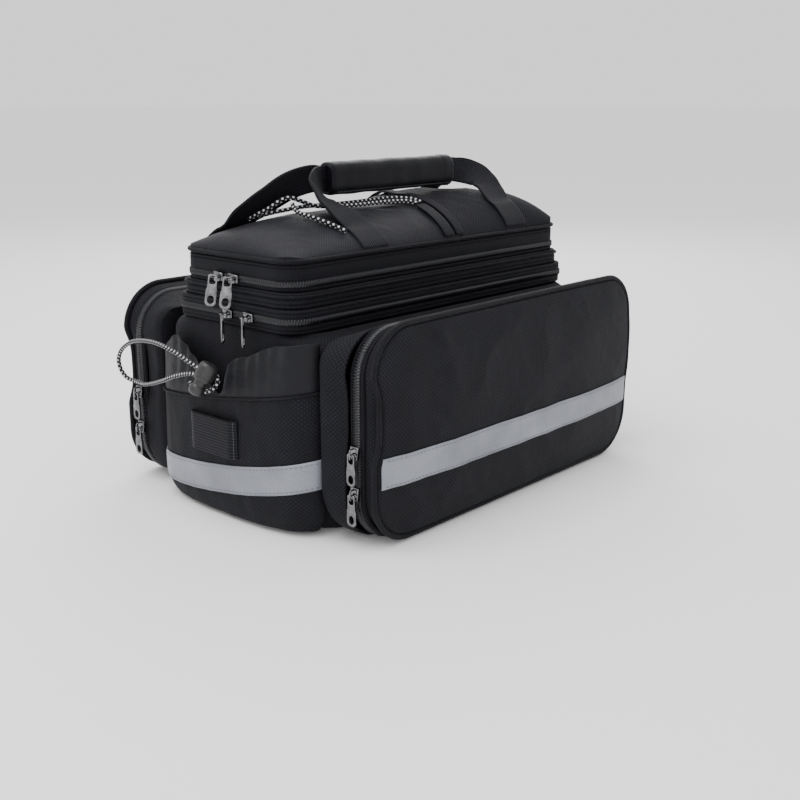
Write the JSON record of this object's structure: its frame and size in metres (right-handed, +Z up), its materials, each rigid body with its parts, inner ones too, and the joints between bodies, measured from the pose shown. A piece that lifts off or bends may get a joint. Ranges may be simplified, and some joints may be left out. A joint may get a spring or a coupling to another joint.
{
  "type": "bicycle trunk bag",
  "caption": "Soft rear-rack bag with a zipped domed lid, side panniers, an open end pocket with a drawstring, reflective strips and a padded carry handle.",
  "frame": {"origin": "middle of the underside, on the surface the bag rests on", "axes": "+X along the bag away from the end pocket, -Y the side of the near pannier, +Z up"},
  "size_m": [0.3571, 0.26, 0.232],
  "materials": {
    "woven_cloth": "matte",
    "mesh_cloth": "matte",
    "piping": "satin",
    "zipper_tape": "matte",
    "webbing": "matte",
    "thin_nylon": "satin",
    "reflective_tape": "satin",
    "pull_metal": "polished",
    "lock_plastic": "matte",
    "elastic_cord": "matte"
  },
  "bodies": {
    "bag": {"main_body": "woven_cloth", "lower_zipper": "zipper_tape", "expansion_band": "woven_cloth", "upper_zipper": "zipper_tape", "lid_plain_panel": "woven_cloth", "lid_mesh_panel": "mesh_cloth", "lid_piping": "piping", "lid_seam_binding": "webbing", "bungee_tab": "webbing", "bungee_front": "elastic_cord", "bungee_back": "elastic_cord", "bungee_side": "elastic_cord", "near_handle_strap": "webbing", "far_handle_strap": "webbing", "handle_grip": "thin_nylon", "end_pocket": "woven_cloth", "pocket_collar": "thin_nylon", "end_reflector": "reflective_tape", "light_loop": "webbing", "cord_lock": "lock_plastic", "drawstring_loop": "elastic_cord", "drawstring_tail": "elastic_cord", "near_pannier_back": "woven_cloth", "near_pannier_zipper": "zipper_tape", "near_pannier_front": "woven_cloth", "near_pannier_piping": "piping", "near_reflector": "reflective_tape", "far_pannier_back": "woven_cloth", "far_pannier_zipper": "zipper_tape", "far_pannier_front": "woven_cloth", "far_pannier_piping": "piping", "far_reflector": "reflective_tape", "upper_left_slider": "pull_metal", "upper_right_slider": "pull_metal", "lower_left_slider": "pull_metal", "lower_right_slider": "pull_metal", "near_upper_slider": "pull_metal", "near_lower_slider": "pull_metal", "far_upper_slider": "pull_metal", "far_lower_slider": "pull_metal"},
    "upper_left_tab": {"upper_left_pull": "pull_metal"},
    "upper_right_tab": {"upper_right_pull": "pull_metal"},
    "lower_left_tab": {"lower_left_pull": "pull_metal"},
    "lower_right_tab": {"lower_right_pull": "pull_metal"},
    "near_upper_tab": {"near_upper_pull": "pull_metal"},
    "near_lower_tab": {"near_lower_pull": "pull_metal"},
    "far_upper_tab": {"far_upper_pull": "pull_metal"},
    "far_lower_tab": {"far_lower_pull": "pull_metal"},
    "lock_button": {"cord_lock_button": "lock_plastic"}
  },
  "joints": [
    {"name": "upper_left_tab_hinge", "type": "hinge", "parent": "bag", "child": "upper_left_tab", "pos_m": [-0.154, 0.012, 0.1615], "axis": [0, 1, 0], "range_deg": [0, 80]},
    {"name": "upper_right_tab_hinge", "type": "hinge", "parent": "bag", "child": "upper_right_tab", "pos_m": [-0.154, -0.003, 0.1615], "axis": [0, 1, 0], "range_deg": [0, 80]},
    {"name": "lower_left_tab_hinge", "type": "hinge", "parent": "bag", "child": "lower_left_tab", "pos_m": [-0.158, -0.0005, 0.1388], "axis": [0, 1, 0], "range_deg": [0, 80]},
    {"name": "lower_right_tab_hinge", "type": "hinge", "parent": "bag", "child": "lower_right_tab", "pos_m": [-0.158, -0.021, 0.1388], "axis": [0, 1, 0], "range_deg": [0, 80]},
    {"name": "near_upper_tab_hinge", "type": "hinge", "parent": "bag", "child": "near_upper_tab", "pos_m": [-0.14615, -0.10495, 0.063], "axis": [0, 1, 0], "range_deg": [0, 150]},
    {"name": "near_lower_tab_hinge", "type": "hinge", "parent": "bag", "child": "near_lower_tab", "pos_m": [-0.14615, -0.10495, 0.0363], "axis": [0, 1, 0], "range_deg": [0, 150]},
    {"name": "far_upper_tab_hinge", "type": "hinge", "parent": "bag", "child": "far_upper_tab", "pos_m": [-0.15615, 0.10495, 0.067], "axis": [0, 1, 0], "range_deg": [0, 150]},
    {"name": "far_lower_tab_hinge", "type": "hinge", "parent": "bag", "child": "far_lower_tab", "pos_m": [-0.15615, 0.10495, 0.0403], "axis": [0, 1, 0], "range_deg": [0, 150]},
    {"name": "lock_button_slide", "type": "slide", "parent": "bag", "child": "lock_button", "axis": [0.4187, -0.2991, 0.8574], "range_m": [0, 0.003], "stiffness_N_per_m": 150}
  ]
}
